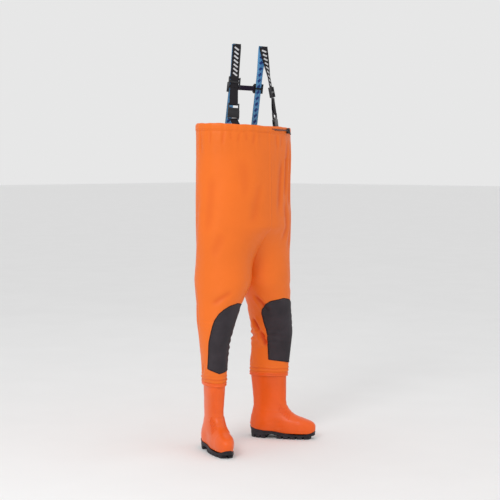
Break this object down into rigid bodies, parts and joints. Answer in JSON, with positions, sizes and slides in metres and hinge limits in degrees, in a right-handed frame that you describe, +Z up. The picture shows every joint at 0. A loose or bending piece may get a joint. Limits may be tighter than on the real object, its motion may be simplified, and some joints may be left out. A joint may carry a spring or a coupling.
{
  "type": "chest waders",
  "caption": "Chest waders of coated fabric with a wide bib, two legs with knee patches, welded-on safety boots, and two buckled elastic braces with a cross strap.",
  "frame": {"origin": "midway between the two brace folds, at the height of the wearer's shoulders under them", "axes": "+Z up, -Y the way the wearer faces, +X the wearer's left"},
  "size_m": [0.6192, 0.3592, 1.8395],
  "materials": {
    "coated_fabric": "glossy PVC coating",
    "patch_fabric": "matt coated",
    "boot_rubber": "satin moulded PVC",
    "sole_rubber": "matt nitrile",
    "insole_felt": "felt",
    "toe_cap_steel": "plated",
    "webbing": "woven elastic",
    "moulded_plastic": "moulded acetal",
    "cord": "braided"
  },
  "bodies": {
    "bib": {"right_body_panel": "coated_fabric", "left_body_panel": "coated_fabric", "hem_band": "coated_fabric", "right_brace": "webbing", "left_brace": "webbing", "right_adjuster_loop": "webbing", "left_adjuster_loop": "webbing", "right_buckle_socket": "moulded_plastic", "left_buckle_socket": "moulded_plastic", "right_front_tab": "webbing", "left_front_tab": "webbing", "right_front_patch": "coated_fabric", "left_front_patch": "coated_fabric", "right_back_patch": "coated_fabric", "left_back_patch": "coated_fabric", "eyelets": "toe_cap_steel", "drawcord": "cord", "drawcord_tails": "cord", "drawcord_knot": "cord"},
    "right_leg": {"right_seat_panel": "coated_fabric", "right_thigh_panel": "coated_fabric", "right_knee_panel": "coated_fabric", "right_knee_patch": "patch_fabric"},
    "right_shin": {"right_shin_panel": "coated_fabric", "right_boot_seam_band": "coated_fabric", "right_boot_upper": "boot_rubber", "right_outsole": "sole_rubber", "right_insole": "insole_felt", "right_toe_cap": "toe_cap_steel"},
    "left_leg": {"left_seat_panel": "coated_fabric", "left_thigh_panel": "coated_fabric", "left_knee_panel": "coated_fabric", "left_knee_patch": "patch_fabric"},
    "left_shin": {"left_shin_panel": "coated_fabric", "left_boot_seam_band": "coated_fabric", "left_boot_upper": "boot_rubber", "left_outsole": "sole_rubber", "left_insole": "insole_felt", "left_toe_cap": "toe_cap_steel"},
    "right_slider": {"right_slider": "moulded_plastic"},
    "right_plug": {"right_buckle_plug": "moulded_plastic"},
    "left_slider": {"left_slider": "moulded_plastic"},
    "left_plug": {"left_buckle_plug": "moulded_plastic"},
    "cross_strap": {"cross_strap": "webbing", "right_cross_loop": "moulded_plastic", "left_cross_loop": "moulded_plastic"},
    "cord_lock": {"cord_lock_body": "moulded_plastic", "cord_lock_spring": "toe_cap_steel"},
    "cord_lock_button": {"cord_lock_button": "moulded_plastic"}
  },
  "joints": [
    {"name": "right_hip", "type": "hinge", "parent": "bib", "child": "right_leg", "pos_m": [-0.164, -0.03, -1.086], "axis": [-1, 0, 0], "range_deg": [-10, 50], "deforming": ["right_seat_panel"]},
    {"name": "right_knee", "type": "hinge", "parent": "right_leg", "child": "right_shin", "pos_m": [-0.195, 0, -1.336], "axis": [0.9848, -0.1736, 0], "range_deg": [0, 65], "deforming": ["right_knee_panel", "right_knee_patch"]},
    {"name": "right_slider_slide", "type": "slide", "parent": "bib", "child": "right_slider", "axis": [0.1981, 0.096, 0.9755], "range_m": [0, 0.045]},
    {"name": "right_buckle_release", "type": "slide", "parent": "bib", "child": "right_plug", "axis": [0.0875, 0.0547, 0.9947], "range_m": [0, 0.028], "deforming": ["right_adjuster_loop"]},
    {"name": "left_hip", "type": "hinge", "parent": "bib", "child": "left_leg", "pos_m": [0.164, -0.03, -1.086], "axis": [-1, 0, 0], "range_deg": [-10, 50], "deforming": ["left_seat_panel"]},
    {"name": "left_knee", "type": "hinge", "parent": "left_leg", "child": "left_shin", "pos_m": [0.195, 0, -1.336], "axis": [0.9848, 0.1736, 0], "range_deg": [0, 65], "deforming": ["left_knee_panel", "left_knee_patch"]},
    {"name": "left_slider_slide", "type": "slide", "parent": "bib", "child": "left_slider", "axis": [-0.1812, 0.0897, 0.9793], "range_m": [0, 0.045]},
    {"name": "left_buckle_release", "type": "slide", "parent": "bib", "child": "left_plug", "axis": [-0.0875, 0.0547, 0.9947], "range_m": [0, 0.028], "deforming": ["left_adjuster_loop"]},
    {"name": "cross_strap_slide", "type": "slide", "parent": "bib", "child": "cross_strap", "axis": [0, -0.1483, 0.9889], "range_m": [-0.04, 0.05]},
    {"name": "cord_lock_slide", "type": "slide", "parent": "bib", "child": "cord_lock", "axis": [-0.9356, -0.3531, 0], "range_m": [0, 0.014]},
    {"name": "cord_lock_press", "type": "slide", "parent": "cord_lock", "child": "cord_lock_button", "axis": [0, 0, -1], "range_m": [0, 0.003], "stiffness_N_per_m": 250, "springref_m": -0.002, "deforming": ["cord_lock_spring"]}
  ]
}
